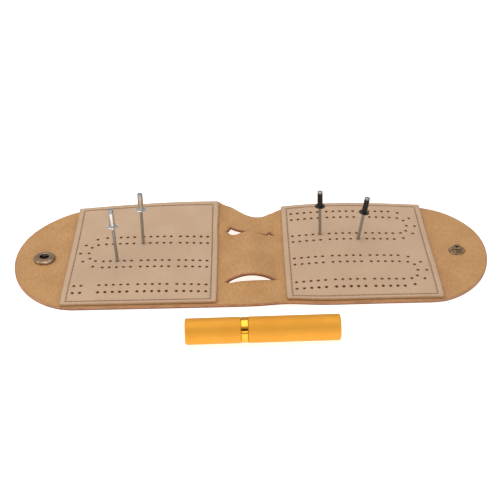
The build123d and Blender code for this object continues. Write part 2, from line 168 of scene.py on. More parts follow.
def rise(x, y, band, strap):
    """Height of the leather above flat; band and strap are 1 on those parts, 0 elsewhere."""
    inner = PANEL_CENTRE - PANEL_HALF_X
    t = (np.maximum(np.abs(x), inner) - PANEL_CENTRE) / PANEL_HALF_X
    w = y / PANEL_HALF_Y
    t_left, t_right = np.where(x < 0, t, -1), np.where(x > 0, t, -1)
    across = np.clip((x + inner) / (2 * inner), 0, 1)
    left_share = (1 - across) * (LEFT_HOLD + (1 - LEFT_HOLD) * np.exp(-across / LEFT_DROP))
    lie = mix(right_rise(t_right, w), left_rise(t_left, w), left_share)
    lie = mix(front_edge_rise(x), lie, smooth((w - LIE_FROM) / LIE_REACH))
    shoulder = hump(x, SHOULDER_X, SHOULDER_WIDE) * hump(y, SHOULDER_Y, SHOULDER_DEEP)
    lie = lie + SLIT_SHOULDER * shoulder

    outward = np.abs(x)
    level = np.where(x > 0, 1 - FLAP_LEVEL * smooth((w - 0.25) / 0.5), 1)
    flap = np.clip(outward - FLAP_FOLD, 0, None) * FLAP_RISE * level
    curl = np.where(x < 0, LEFT_FLAP_CURL * np.clip(w, 0, 1) ** 2 * hump(outward, 104, 16), 0)
    start = np.where(x < 0, FLAP_START[LEFT], FLAP_START[RIGHT])
    length = np.where(x < 0, FLAP_BLEND[LEFT], FLAP_BLEND[RIGHT])
    lie = mix(lie, flap + curl, strap * smooth((outward - start) / length))

    ends = smooth((SLIT_HALF - outward) / 3)
    behind = np.clip(y - slit_line(SLIT_BACK, x), 0, None)
    back_strip = BACK_STRIP_RISE - np.where(x < 0, 0.1, 0.19) * x + 0.3 * hump(x, -11, 3.5)
    back_strip = back_strip + BACK_LIFT * hump(x, BACK_LIFT_AT, 2)
    back_strip = back_strip * ends * hump(behind, 0, 20) * (y > 0)
    before = np.clip(slit_line(SLIT_FRONT, x) - y, 0, None)
    front_strip = FRONT_STRIP_RISE * np.clip(1 - ((x - 2) / 13) ** 2, 0, 1)
    front_strip = front_strip * smooth(1 - before / 14) * (y < 0)

    sunk = smooth((SLIT_HALF - outward) / 4)
    front_bow = BAND_FRONT_RISE * np.clip(1 - ((x + 0.4) / (SLIT_HALF - 0.3)) ** 2, 0, 1) ** 0.95
    reach = np.where(x < -1, 10, 12)
    back_bow = BAND_BACK_RISE * (0.5 + 0.5 * np.cos(np.pi * np.clip((x + 1) / reach, -1, 1)))
    depth = SLIT_BACK[0] - SLIT_FRONT[0]
    bow = mix(front_bow, back_bow, np.clip((y - SLIT_FRONT[0]) / depth, 0, 1))
    return np.where(band, lie * (1 - 0.95 * sunk) + bow * smooth((SLIT_HALF - outward) / 1.2),
                    lie + back_strip + front_strip)


def bend(points, strap):
    """Lays flat leather points on the board's own curve, keeping their depth square to it."""
    x, y, z = points.T
    band = on_band(x, y)
    step = 0.05
    slope_x = (rise(x + step, y, band, strap) - rise(x - step, y, band, strap)) / (2 * step)
    slope_y = (rise(x, y + step, band, strap) - rise(x, y - step, band, strap)) / (2 * step)
    length = np.sqrt(1 + slope_x ** 2 + slope_y ** 2)
    depth = z - STRAP_THICK
    return np.stack([x - slope_x / length * depth, y - slope_y / length * depth,
                     STRAP_THICK + rise(x, y, band, strap) + depth / length], -1)


# ---- peg holes, as in the CAD ----------------------------------------------------------------
def lane_place(side, index, row, lane):
    group, place = divmod(index, GROUP_HOLES)
    x = FIRST_HOLE + group * GROUP_PITCH + place * HOLE_PITCH
    return side * x, row * ROW_PITCH + lane * LANE_GAP / 2


def wing_holes(side):
    rows = (-1.5, -0.5, 0.5) if side == LEFT else (-1.5, -0.5, 0.5, 1.5)
    holes = [lane_place(side, index, row, lane)
             for row in rows for lane in (-1, 1) for index in range(GROUPS * GROUP_HOLES)]
    for middle in ((0,) if side == LEFT else (-1, 1)):
        for reach, half, power in TURN_LANES:
            for step in (-2, -1, 0, 1, 2):
                angle = math.radians(TURN_STEP_DEG * step)
                up = half * abs(math.sin(angle)) ** (2 / power)
                holes.append((side * (LAST_HOLE + reach * math.cos(angle) ** (2 / power)),
                              middle * ROW_PITCH + (up if step > 0 else -up)))
    if side == LEFT:
        holes += [(-(LAST_HOLE + START_STEP + k * HOLE_PITCH),
                   -1.5 * ROW_PITCH + lane * LANE_GAP / 2)
                  for lane in (-1, 1) for k in (0, 1)]
    return holes


def hole_shape(x, y):
    """Radius of a hole, and its sideways shift for each millimetre of height."""
    for side, index, row, lane, lean in PEGS:
        peg_x, peg_y = lane_place(side, index, row, lane)
        if abs(x - peg_x) + abs(y - peg_y) < 0.2:
            return HOLE_R, math.tan(math.radians(lean))
    return FREE_HOLE_R, 0.0


# ---- outlines --------------------------------------------------------------------------------
EDGE_STEP, SEAM_STEP = 1.5, 2.0          # spacing of outline points on free edges and on seams


def run(start, end, spacing):
    """Points from start up to, but not including, end."""
    start, end = np.array(start, float), np.array(end, float)
    count = max(1, round(float(np.linalg.norm(end - start)) / spacing))
    return [tuple(mix(start, end, k / count)) for k in range(count)]


def notch_y(x):
    """Back edge of the strap across the spine."""
    reach = NOTCH_RIGHT if x > NOTCH_X else NOTCH_LEFT
    share = min(abs(x - NOTCH_X) / reach, 1)
    return STRAP_HALF_DEPTH - NOTCH_DEEP * (0.5 + 0.5 * math.cos(math.pi * share))


def slit_lips(slit, side):
    """The two edges of half a slit, from the spine's middle outwards, as (lower, upper)."""
    lower, upper = [], []
    for x in np.linspace(0, SLIT_HALF, 37)[:-1]:
        closing, late_closing = 1 - (x / SLIT_HALF) ** 4, 1 - (x / SLIT_HALF) ** 12
        middle = slit_line(slit, side * x)
        back_opened = 0.8 * hump(side * x, -11, 3.6) + 1.2 * hump(side * x, 12.2, 2)
        front_opened = 0.8 * hump(side * x, -12.5, 3)
        above, below = (back_opened, 0) if slit is SLIT_BACK else (0, front_opened)
        lower.append((x, middle - SLIT_WIDE / 2 * closing - below * late_closing))
        upper.append((x, middle + SLIT_WIDE / 2 * closing + above * late_closing))
    return lower, upper


def spine_outline(side):
    """Half of the spine with half the keeper band, and the inner part of its wing's strap."""
    shoulder = NOTCH_RIGHT + NOTCH_X if side == RIGHT else NOTCH_LEFT - NOTCH_X
    outline = run((0, -STRAP_HALF_DEPTH), (SEAM, -STRAP_HALF_DEPTH), EDGE_STEP)
    outline += run((SEAM, -STRAP_HALF_DEPTH), (SEAM, STRAP_HALF_DEPTH), SEAM_STEP)
    outline += run((SEAM, STRAP_HALF_DEPTH), (shoulder, STRAP_HALF_DEPTH), EDGE_STEP)
    outline += [(x, notch_y(side * x)) for x in np.linspace(shoulder, 0, 26)[:-1]]
    start = (0, notch_y(0))
    for slit in (SLIT_BACK, SLIT_FRONT):
        lower, upper = slit_lips(slit, side)
        outline += run(start, upper[0], EDGE_STEP) + upper
        outline += [(SLIT_HALF, slit_line(slit, side * SLIT_HALF))] + lower[:0:-1]
        start = lower[0]
    outline += run(start, (0, -STRAP_HALF_DEPTH), EDGE_STEP)
    return handed(outline, side)


def end_outline(side):
    """The outer part of a wing's strap with its flap."""
    straight = STRAP_HALF - FLAP_ROUND
    outline = run((SEAM, -STRAP_HALF_DEPTH), (straight, -STRAP_HALF_DEPTH), EDGE_STEP)
    outline += [(straight + (FLAP_ROUND - FLAP_TAKE_UP) * math.cos(a),
                 STRAP_HALF_DEPTH * math.sin(a))
                for a in np.linspace(-math.pi / 2, math.pi / 2, 97)[:-1]]
    outline += run((straight, STRAP_HALF_DEPTH), (SEAM, STRAP_HALF_DEPTH), EDGE_STEP)
    outline += run((SEAM, STRAP_HALF_DEPTH), (SEAM, -STRAP_HALF_DEPTH), SEAM_STEP)
    return handed(outline, side)


def panel_outline(side):
    outline = []
    for quarter, (cx, cy) in enumerate(((1, -1), (1, 1), (-1, 1), (-1, -1))):
        centre = np.array([cx * (PANEL_HALF_X - PANEL_CORNER), cy * (PANEL_HALF_Y - PANEL_CORNER)])
        start = -math.pi / 2 + quarter * math.pi / 2
        outline += [tuple(centre + PANEL_CORNER * np.array([math.cos(a), math.sin(a)]))
                    for a in np.linspace(start, start + math.pi / 2, 6)]
        ahead = centre + PANEL_CORNER * np.array([math.cos(start + math.pi / 2),
                                                  math.sin(start + math.pi / 2)])
        nx, ny = ((1, 1), (-1, 1), (-1, -1), (1, -1))[quarter]
        goal = np.array([nx * (PANEL_HALF_X - PANEL_CORNER), ny * (PANEL_HALF_Y - PANEL_CORNER)])
        goal = goal + PANEL_CORNER * np.array([math.cos(start + math.pi / 2),
                                               math.sin(start + math.pi / 2)])
        outline += run(ahead, goal, EDGE_STEP)[1:]
    return [(x + side * PANEL_CENTRE, y) for x, y in outline]


def handed(outline, side):
    """Mirrors a right-hand outline for the left side, keeping it anticlockwise."""
    return outline if side == RIGHT else [(-x, y) for x, y in reversed(outline)]


# ---- stitches --------------------------------------------------------------------------------
def stitch_places(side):
    """(x, y, direction, pitch) of every stitch round a panel."""
    places = []
    for half_run, half_off, turned in ((STITCH_HALF_X, STITCH_HALF_Y, False),
                                       (STITCH_HALF_Y, STITCH_HALF_X, True)):
        count = round(2 * half_run / STITCH_PITCH)
        for k in range(count):
            along = -half_run + (k + 0.5) * 2 * half_run / count
            for off in (-half_off, half_off):
                x, y = (off, along) if turned else (along, off)
                places.append((side * PANEL_CENTRE + x, STITCH_Y + y, turned,
                               2 * half_run / count))
    return places


def stitch_line_distance(x, y, side):
    """How far a point is from the rectangle that the stitches follow."""
    u = np.abs(x - side * PANEL_CENTRE) - STITCH_HALF_X
    v = np.abs(y - STITCH_Y) - STITCH_HALF_Y
    outside = np.hypot(np.maximum(u, 0), np.maximum(v, 0))
    return np.where((u > 0) | (v > 0), outside, np.minimum(-u, -v))


def needle_holes(side):
    """Both ends of every stitch, where its thread goes down beside its neighbour's."""
    ends = []
    for x, y, turned, pitch in stitch_places(side):
        for reach in (-pitch / 2, pitch / 2):
            ends.append((x, y + reach) if turned else (x + reach, y))
    return np.array(ends)


def nearest(points, targets):
    """Distance from each point to the closest target."""
    best = np.full(len(points), 1e9)
    for chunk in range(0, len(targets), 64):
        part = targets[chunk:chunk + 64]
        gap = np.hypot(points[:, None, 0] - part[None, :, 0],
                       points[:, None, 1] - part[None, :, 1])
        best = np.minimum(best, gap.min(1))
    return best


# ---- leather plates --------------------------------------------------------------------------
def offset_vectors(loop, insets):
    """For each corner of a loop, the way its inset outline moves; insets are per edge."""
    loop = np.array(loop)
    ahead = np.roll(loop, -1, 0) - loop
    ahead /= np.linalg.norm(ahead, axis=1)[:, None]
    normal = np.stack([-ahead[:, 1], ahead[:, 0]], -1)
    before, d_before = np.roll(normal, 1, 0), np.roll(insets, 1)
    vectors = []
    for n1, d1, n2, d2 in zip(before, d_before, normal, insets):
        det = n1[0] * n2[1] - n1[1] * n2[0]
        if abs(det) < 0.05:
            n = n1 + n2
            vectors.append(n / np.linalg.norm(n) * max(d1, d2))
        else:
            vectors.append(((d1 * n2[1] - d2 * n1[1]) / det, (d2 * n1[0] - d1 * n2[0]) / det))
    return np.array(vectors)


def inside_loop(points, loop):
    x, y = points[:, 0], points[:, 1]
    found = np.zeros(len(points), bool)
    for (ax, ay), (bx, by) in zip(loop, np.roll(loop, -1, 0)):
        if ay == by:
            continue
        crosses = ((ay > y) != (by > y)) & (x < (bx - ax) * (y - ay) / (by - ay) + ax)
        found ^= crosses
    return found


def loop_distance(points, loop, keep):
    """Distance of points to the loop's edges for which keep is true."""
    loop = np.array(loop)
    best = np.full(len(points), 1e9)
    for a, b, wanted in zip(loop, np.roll(loop, -1, 0), keep):
        if not wanted:
            continue
        d = b - a
        t = np.clip(((points - a) @ d) / (d @ d), 0, 1)
        best = np.minimum(best, np.hypot(*(points - a - t[:, None] * d).T))
    return best


HOLE_SIDES = 14
EDGE_ROUND = 0.25                        # rounding of a sheet's cut edges
GRID_STEP = 2.0                          # spacing of the mesh points inside a sheet
LINE_DENT, LINE_WIDE = 0.08, 0.5         # how stitches press into the leather, along their line
NEEDLE_DENT, NEEDLE_WIDE = 0.4, 0.38     # and at each needle hole
MEASURE_END = 12                         # the distance attributes stop counting here, in mm
SHARP_LEATHER, SHARP_METAL = math.radians(50), math.radians(35)
TOP, EDGE, UNDER, WALL = range(4)        # material slots of a leather mesh


def hole_rings(x, y, z_low, z_high):
    """The rings of points down one punched hole, its mouth a little rounded off by use."""
    radius, _ = hole_shape(x, y)
    angles = np.arange(HOLE_SIDES) * 2 * math.pi / HOLE_SIDES
    circle = np.stack([np.cos(angles), np.sin(angles)], -1)
    profile = ((0.12, z_high), (0.03, z_high - 0.08), (0.0, z_high - 0.3), (0.0, z_low + 0.2),
               (0.1, z_low))
    return [(np.array([x, y]) + circle * (radius + grow), z) for grow, z in profile]


def edge_rings(loop, seam, z_low, z_high):
    """The rings of points down the outer edge, rounded above and below except on a seam."""
    vectors = offset_vectors(loop, np.where(seam, 0.0, 1.0))
    turns = np.linspace(0, math.pi / 2, 4)
    above = [(EDGE_ROUND * (1 - math.sin(a)), z_high - EDGE_ROUND * (1 - math.cos(a)))
             for a in turns]
    below = [(EDGE_ROUND * (1 - math.cos(a)), z_low + EDGE_ROUND * (1 - math.sin(a)))
             for a in turns]
    return [(loop + vectors * inset, z) for inset, z in above + below]


def triangulate(outer, mouths, grid):
    """Flat triangles between the outer loop and the hole mouths, and where each point went."""
    flat = np.vstack([outer] + mouths + [grid])
    count = len(outer)
    edges = [(i, (i + 1) % count) for i in range(count)]
    for h in range(len(mouths)):
        base = count + h * HOLE_SIDES
        edges += [(base + i, base + (i + 1) % HOLE_SIDES) for i in range(HOLE_SIDES)]
    out = delaunay_2d_cdt([Vector(p) for p in flat], edges, [], 1, 1e-7)
    points, triangles = np.array([tuple(v) for v in out[0]]), np.array(out[2])
    place = np.zeros(len(flat), int)
    for new, olds in enumerate(out[3]):
        for old in olds:
            place[old] = new
    ring_of = np.full(len(points), -1)
    for h in range(len(mouths)):
        base = count + h * HOLE_SIDES
        ring_of[place[base:base + HOLE_SIDES]] = h
    corner_rings = ring_of[triangles]
    in_hole = (corner_rings[:, 0] >= 0) & (corner_rings == corner_rings[:, :1]).all(1)
    triangles = triangles[~in_hole]
    return points, triangles[inside_loop(points[triangles].mean(1), outer)], place


def fill_points(outer, spacing, guides, holes):
    """Points inside the outline: an even triangular grid that gives way to the guides."""
    low, high = outer.min(0), outer.max(0)
    rows = np.arange(low[1] + spacing / 2, high[1], spacing * 0.87)
    columns = np.arange(low[0] + spacing / 2, high[0], spacing)
    grid = np.array([(x + (k % 2) * spacing / 2, y) for k, y in enumerate(rows) for x in columns])
    grid = np.vstack([grid[nearest(grid, guides) > spacing * 0.45], guides])
    grid = grid[inside_loop(grid, outer)]
    grid = grid[loop_distance(grid, outer, np.ones(len(outer), bool)) > 0.4]
    return grid[nearest(grid, np.array(holes)) > HOLE_R + 0.5]


def plate(name, side, outline, seams, holes, strap):
    """Closed leather sheet with rounded edges and punched holes, bent to the board's lie.

    seams are the |x| of cuts where this mesh meets its neighbour, which stay square.
    strap is 1 for the strap and 0 for a panel; stitches press into a panel's top face and
    the strap's bottom face.
    """
    z_low, z_high = (0.0, STRAP_THICK) if strap else (STRAP_THICK, PANEL_TOP)
    loop = np.array(outline)
    ahead = np.roll(loop, -1, 0)
    seam = np.zeros(len(loop), bool)
    for x in seams:
        seam |= (np.abs(np.abs(loop[:, 0]) - x) < 0.01) & (np.abs(np.abs(ahead[:, 0]) - x) < 0.01)
    rings = edge_rings(loop, seam, z_low, z_high)
    outer = rings[0][0]
    walls = [hole_rings(x, y, z_low, z_high) for x, y in holes]
    guides = stitch_guides(side)
    points, triangles, place = triangulate(outer, [wall[0][0] for wall in walls],
                                           fill_points(outer, GRID_STEP, guides, holes))
    n = len(points)
    verts = [np.column_stack([points, np.full(n, z)]) for z in (z_high, z_low)]
    faces = [tuple(t) for t in triangles] + [(a + n, c + n, b + n) for a, b, c in triangles]
    kinds = [TOP] * len(triangles) + [UNDER] * len(triangles)

    def wall_faces(first, rings, kind):
        """Quads down a closed wall, from its top-face points to its bottom-face points."""
        above, size = list(first), len(first)
        start = sum(len(v) for v in verts)
        for k, (ring, z) in enumerate(rings):
            below = [start + k * size + i for i in range(size)]
            if k == len(rings) - 1:
                below = [i + n for i in first]
            else:
                verts.append(np.column_stack([ring, np.full(size, z)]))
            for i in range(size):
                j = (i + 1) % size
                faces.append((above[i], below[i], below[j], above[j]))
                kinds.append(kind)
            above = below

    wall_faces(place[:len(outer)], rings[1:], EDGE)
    for h, wall in enumerate(walls):
        base = len(outer) + h * HOLE_SIDES
        mouth = place[base:base + HOLE_SIDES]
        wall_faces(mouth[::-1], [(ring[::-1], z) for ring, z in wall[1:]], WALL)
    flat = np.vstack(verts)

    needle = nearest(flat[:, :2], needle_holes(side))
    line = stitch_line_distance(flat[:, 0], flat[:, 1], side)
    dent = LINE_DENT * hump(line, 0, LINE_WIDE) + NEEDLE_DENT * hump(needle, 0, NEEDLE_WIDE)
    level, way = (z_low, 1) if strap else (z_high, -1)
    pressed = flat.copy()
    pressed[:, 2] += np.where(np.abs(flat[:, 2] - level) < 1e-6, way * dent, 0)
    placed = bend(pressed, strap)
    for x, y in holes:
        radius, slope = hole_shape(x, y)
        if slope:
            close = np.hypot(flat[:, 0] - x, flat[:, 1] - y) < radius + 0.6
            placed[close, 0] += slope * (placed[close, 2] - PANEL_TOP)

    piece = mesh_piece(name, placed, faces, flat)
    mesh = piece.data
    mesh.polygons.foreach_set("material_index", np.array(kinds, np.int32))
    snap = np.hypot(flat[:, 0] - side * SNAP_X, flat[:, 1] - SNAP_Y)
    measures = {"border_mm": loop_distance(flat[:, :2], loop, ~seam), "needle_mm": needle,
                "line_mm": line, "snap_mm": snap}
    for word, values in measures.items():
        attribute = mesh.attributes.new(word, "FLOAT", "POINT")
        attribute.data.foreach_set("value", np.minimum(values, MEASURE_END).astype(np.float32))
    mesh.set_sharp_from_angle(angle=SHARP_LEATHER)
    return piece


def mesh_piece(name, placed, faces, flat):
    """A smooth-shaded mesh object; flat_mm keeps each point's place on the flat leather."""
    mesh = bpy.data.meshes.new(name)
    mesh.from_pydata([tuple(p) for p in to_metres(placed)], [],
                     [tuple(int(i) for i in face) for face in faces])
    attribute = mesh.attributes.new("flat_mm", "FLOAT_VECTOR", "POINT")
    attribute.data.foreach_set("vector", flat.astype(np.float32).ravel())
    mesh.polygons.foreach_set("use_smooth", np.ones(len(mesh.polygons), bool))
    mesh.update()
    piece = bpy.data.objects.new(name, mesh)
    bpy.context.scene.collection.objects.link(piece)
    return piece


def stitch_guides(side):
    """Mesh points that let the leather dip along the stitches and at each needle hole."""
    guides = []
    for x, y, turned, pitch in stitch_places(side):
        for along in (pitch * k / 10 for k in (-4.9, -4.2, -3.2, -1.5, 0, 1.5, 3.2, 4.2)):
            for off in (-0.9, -0.45, -0.2, 0.0, 0.2, 0.45, 0.9):
                guides.append((x + off, y + along) if turned else (x + along, y + off))
    return np.array(guides)


def spine_leather(side, name):
    """Half the spine and keeper band, with the strap under the inner part of the panel."""
    holes = [hole for hole in wing_holes(side) if abs(hole[0]) < SEAM]
    return plate(name, side, spine_outline(side), (0.0, SEAM), holes, 1)


def end_leather(side, name):
    """The strap under the outer part of the panel, with the flap."""
    holes = [hole for hole in wing_holes(side) if abs(hole[0]) > SEAM]
    return plate(name, side, end_outline(side), (SEAM,), holes, 1)


def panel_leather(side, name):
    return plate(name, side, panel_outline(side), (), wing_holes(side), 0)


def thread(side, name):
    """Every stitch of a panel, above and below, as a short length of two-ply thread."""
    count, around = 11, 10             # rings along a stitch, and points round each ring
    t = np.linspace(-1, 1, count)[:, None]
    theta = (np.arange(around) * 2 * math.pi / around)[None, :]
    along = t * (STITCH_PITCH - STITCH_GAP) / 2
    radius = STITCH_R * np.sqrt(np.clip(1 - (np.abs(t) * 0.97) ** 8, 0.05, 1))
    radius = radius * (1 + 0.16 * np.cos(2 * (theta - along * 2.1)))
    across = radius * np.cos(theta)
    height = 0.05 - 0.4 * np.abs(t) ** 3 + 0.8 * radius * np.sin(theta)
    along = np.repeat(along, around, 1)
    verts, faces = [], []
    for x, y, turned, _ in stitch_places(side):
        for level, up in ((PANEL_TOP, 1), (0.0, -1)):
            base = len(verts) * count * around
            px, py = (x + across, y + along) if turned else (x + along, y + across)
            stitch = np.stack([px, py, level + up * height], -1).reshape(-1, 3)
            stitch[:, 2] = np.maximum(stitch[:, 2], 0.02)
            verts.append(stitch)
            flip = (up < 0) == turned
            rows = [[base + i * around + j for j in range(around)] for i in range(count)]
            tube = [(near[j], near[j - 1], far[j - 1], far[j])
                    for near, far in zip(rows, rows[1:]) for j in range(around)]
            tube += [tuple(rows[0]), tuple(rows[-1][::-1])]
            faces += [face[::-1] for face in tube] if flip else tube
    flat = np.vstack(verts)
    return mesh_piece(name, bend(flat, 0), faces, flat)


# ---- materials -------------------------------------------------------------------------------
def srgb(*channels):
    """Linear colour from 0-255 display values."""
    linear = [(c / 255 / 12.92) if c <= 10 else ((c / 255 + 0.055) / 1.055) ** 2.4
              for c in channels]
    return (*linear, 1.0)


class Shader:
    """A principled material with short calls for adding and linking nodes."""

    def __init__(self, name, **constants):
        self.material = bpy.data.materials.new(name)
        self.material.use_nodes = True
        self.tree = self.material.node_tree
        self.main = self.tree.nodes["Principled BSDF"]
        for socket, value in constants.items():
            self.main.inputs[socket.replace("_", " ")].default_value = value

    def add(self, kind, settings=None, **inputs):
        node = self.tree.nodes.new("ShaderNode" + kind)
        for key, value in (settings or {}).items():
            setattr(node, key, value)
        for key, value in inputs.items():
            socket = node.inputs[int(key[1:])] if key[0] == "i" and key[1:].isdigit() \
                else node.inputs[key.replace("_", " ")]
            self.feed(socket, value)
        return node

    def feed(self, socket, value):
        if isinstance(value, bpy.types.NodeSocket):
            self.tree.links.new(value, socket)
        else:
            socket.default_value = value

    def attribute(self, name, vector=False):
        node = self.add("Attribute", {"attribute_name": name})
        return node.outputs["Vector" if vector else "Fac"]

    def noise(self, vector, scale, detail=2.0, roughness=0.5):
        node = self.add("TexNoise", Vector=vector, Scale=scale, Detail=detail, Roughness=roughness)
        return node.outputs["Fac"]

    def cells(self, vector, scale):
        node = self.add("TexVoronoi", {"feature": "F1"}, Vector=vector, Scale=scale)
        return node.outputs["Distance"]

    def stretch(self, vector, scale):
        return self.add("Mapping", Vector=vector, Scale=scale).outputs["Vector"]

    def span(self, value, low, high, to_low=0.0, to_high=1.0):
        node = self.add("MapRange", i0=value, i1=low, i2=high, i3=to_low, i4=to_high)
        return node.outputs[0]

    def math(self, operation, a, b=0.0):
        return self.add("Math", {"operation": operation}, i0=a, i1=b).outputs[0]

    def blend(self, share, a, b):
        node = self.add("Mix", {"data_type": "RGBA", "blend_type": "MIX"})
        self.feed(node.inputs[0], share)
        self.feed(node.inputs[6], a)
        self.feed(node.inputs[7], b)
        return node.outputs[2]

    def bump(self, height, distance):
        return self.add("Bump", Height=height, Distance=distance, Strength=1.0).outputs["Normal"]

    def out(self, **links):
        for socket, value in links.items():
            self.feed(self.main.inputs[socket.replace("_", " ")], value)
        return self.material


def leather(name, pale, deep, rub_and_shade, pore_scale, pore_depth, streak, rough):
    """Grained leather: mottled colour, pores, fibre streaks, edges rubbed and darkened with
    painted shade along the rim, a stitch line pressed and darkened with painted shade, painted
    shade at the needle holes and round the snap socket.
    """
    s = Shader(name, Specular_IOR_Level=0.3, Sheen_Weight=0.08, Sheen_Roughness=0.6)
    flat = s.attribute("flat_mm", True)
    clouds = s.span(s.noise(flat, 0.05, 3.0), 0.35, 0.65)
    blotch = s.span(s.noise(flat, 0.9, 4.0, 0.65), 0.3, 0.7)
    fibres = s.noise(s.stretch(flat, (0.9, 0.22, 0.5)), 1.2, 4.0, 0.7)
    tone = s.blend(s.math("MULTIPLY", clouds, 0.45), pale, deep)
    tone = s.blend(s.math("MULTIPLY", blotch, 0.3 + 0.35 * streak), tone, deep)
    tone = s.blend(s.span(fibres, 0.35, 0.75, 0.0, streak), tone, deep)
    pores = s.cells(s.stretch(flat, (1.0, 1.15, 1.0)), pore_scale)
    pits = s.span(pores, 0.0, 0.4, 1.0, 0.0)
    tone = s.blend(s.math("MULTIPLY", pits, 0.15 + 0.4 * streak), tone, deep)
    # partly rubbed leather, partly painted shade: a darker rim along the free edges
    tone = s.blend(s.span(s.attribute("border_mm"), 0.2, 1.1, 0.55, 0.0), tone, rub_and_shade)
    # partly pressed leather, partly painted shade: the tone darkens along the stitch groove
    tone = s.blend(s.span(s.attribute("line_mm"), 0.2, 0.7, 0.15, 0.0), tone, rub_and_shade)
    # painted shade: a dark dot at each needle hole stands in for the shade down the hole
    tone = s.blend(s.span(s.attribute("needle_mm"), 0.35, 0.6, 0.85, 0.0), tone, srgb(104, 72, 50))
    # painted shade: the leather round the snap is darkened almost to black, standing in for the
    # shade inside the snap socket
    tone = s.blend(s.span(s.attribute("snap_mm"), 3.5, 5.5, 0.9, 0.0), tone, srgb(40, 26, 20))
    grain = s.noise(flat, 4.0, 5.0, 0.65)
    height = s.math("ADD", s.math("MULTIPLY", pores, 0.6), s.math("MULTIPLY", grain, 0.5))
    height = s.math("ADD", height, s.math("MULTIPLY", fibres, 0.35 * streak))
    creases = s.math("ABSOLUTE", s.math("SUBTRACT", s.noise(flat, 0.42, 2.0), 0.5))
    height = s.math("ADD", height, s.math("MULTIPLY", s.span(creases, 0.0, 0.03), 0.2))
    shine = s.span(s.noise(flat, 0.9, 3.0), 0.3, 0.7, rough - 0.05, rough + 0.06)
    return s.out(Base_Color=tone, Roughness=shine, Normal=s.bump(height, pore_depth))


def cut_edge(name, bright, dark, low, high):
    """The cut, burnished side of the leather, darkened towards the bottom with painted shade, with
    the layers of its fibres.
    """
    s = Shader(name, Specular_IOR_Level=0.3)
    flat = s.attribute("flat_mm", True)
    layers = s.noise(s.stretch(flat, (0.35, 0.35, 3.2)), 1.6, 4.0, 0.7)
    patches = s.span(s.noise(flat, 0.12, 2.0), 0.35, 0.65)
    tone = s.blend(s.span(layers, 0.3, 0.7), bright, dark)
    tone = s.blend(s.math("MULTIPLY", patches, 0.5), tone, bright)
    # painted shade: the edge darkens towards its lower side, from high down to low in flat mm,
    # standing in for contact shade where it sits on the table or the strap
    depth = s.add("SeparateXYZ", Vector=flat).outputs["Z"]
    tone = s.blend(s.span(depth, low, high, 0.9, 0.0), tone, dark)
    return s.out(Base_Color=tone, Roughness=0.7, Normal=s.bump(layers, 0.00012))


def flesh_side(name, pale, deep):
    """The napped underside of the leather."""
    s = Shader(name, Specular_IOR_Level=0.15, Sheen_Weight=0.3, Sheen_Roughness=0.5)
    flat = s.attribute("flat_mm", True)
    nap = s.noise(flat, 1.6, 6.0, 0.75)
    clouds = s.span(s.noise(flat, 0.08, 3.0), 0.35, 0.65)
    tone = s.blend(s.math("MULTIPLY", clouds, 0.6), pale, deep)
    tone = s.blend(s.span(nap, 0.4, 0.75, 0.0, 0.5), tone, deep)
    return s.out(Base_Color=tone, Roughness=0.9, Normal=s.bump(nap, 0.00022))


def hole_wall(name):
    s = Shader(name, Specular_IOR_Level=0.1)
    flat = s.attribute("flat_mm", True)
    fibres = s.noise(flat, 3.0, 3.0)
    tone = s.blend(fibres, srgb(172, 120, 82), srgb(128, 84, 56))
    return s.out(Base_Color=tone, Roughness=0.95)


def waxed_thread(name):
    s = Shader(name, Specular_IOR_Level=0.4, Sheen_Weight=0.2)
    flat = s.attribute("flat_mm", True)
    fibres = s.noise(s.stretch(flat, (2.0, 2.0, 2.0)), 3.0, 3.0)
    lengths = s.noise(flat, 0.25, 2.0)
    tone = s.blend(s.span(fibres, 0.3, 0.7), srgb(186, 148, 116), srgb(150, 112, 84))
    tone = s.blend(s.span(lengths, 0.3, 0.7, 0.0, 0.45), tone, srgb(132, 94, 70))
    return s.out(Base_Color=tone, Roughness=0.62, Normal=s.bump(fibres, 0.00008))


def metal(name, bright, dark, rough, wear_scale, wear, brushed=None, bump=0.0, metallic=1.0):
    """Metal with patches of tarnish and an optional brushed direction."""
    s = Shader(name, Metallic=metallic)
    place = s.add("TexCoord").outputs["Object"]
    patches = s.noise(place, wear_scale, 4.0, 0.6)
    tone = s.blend(s.span(patches, 0.35, 0.65, 0.0, wear), bright, dark)
    shine = s.span(patches, 0.3, 0.7, rough, rough + 0.12 * (0.4 + wear))
    links = {"Base_Color": tone, "Roughness": shine}
    if brushed:
        lines = s.noise(s.stretch(place, brushed), 1.0, 3.0, 0.7)
        links["Roughness"] = s.math("ADD", shine, s.span(lines, 0.3, 0.7, -0.04, 0.05))
        links["Normal"] = s.bump(lines, bump)
    return s.out(**links)


# The third colour of each leather is the tone of rubbed edges and stitch lines, which also paints
# shade along the rim and in the stitch groove.
STRAP_TOP = leather("strap_grain", srgb(221, 172, 114), srgb(179, 128, 74), srgb(168, 124, 86),
                    1.5, 0.00012, 0.85, 0.56)
# The last two numbers of each cut edge are the flat heights, in mm, over which its painted shade
# fades out upwards.
STRAP_EDGE = cut_edge("strap_cut_edge", srgb(206, 150, 108), srgb(100, 62, 45), 0.45, 1.0)
STRAP_UNDER = flesh_side("strap_flesh", srgb(196, 156, 112), srgb(166, 122, 80))
PANEL_GRAIN = leather("panel_grain", srgb(208, 176, 145), srgb(190, 156, 124), srgb(180, 148, 120),
                      1.9, 0.00007, 0.15, 0.52)
PANEL_EDGE = cut_edge("panel_cut_edge", srgb(186, 148, 110), srgb(150, 112, 80), 2.0, 2.8)
PANEL_UNDER = flesh_side("panel_flesh", srgb(198, 170, 136), srgb(170, 138, 102))
HOLE_WALL = hole_wall("hole_wall")
THREAD = waxed_thread("waxed_thread")


def dress(piece, looks):
    for look in looks:
        piece.data.materials.append(look)


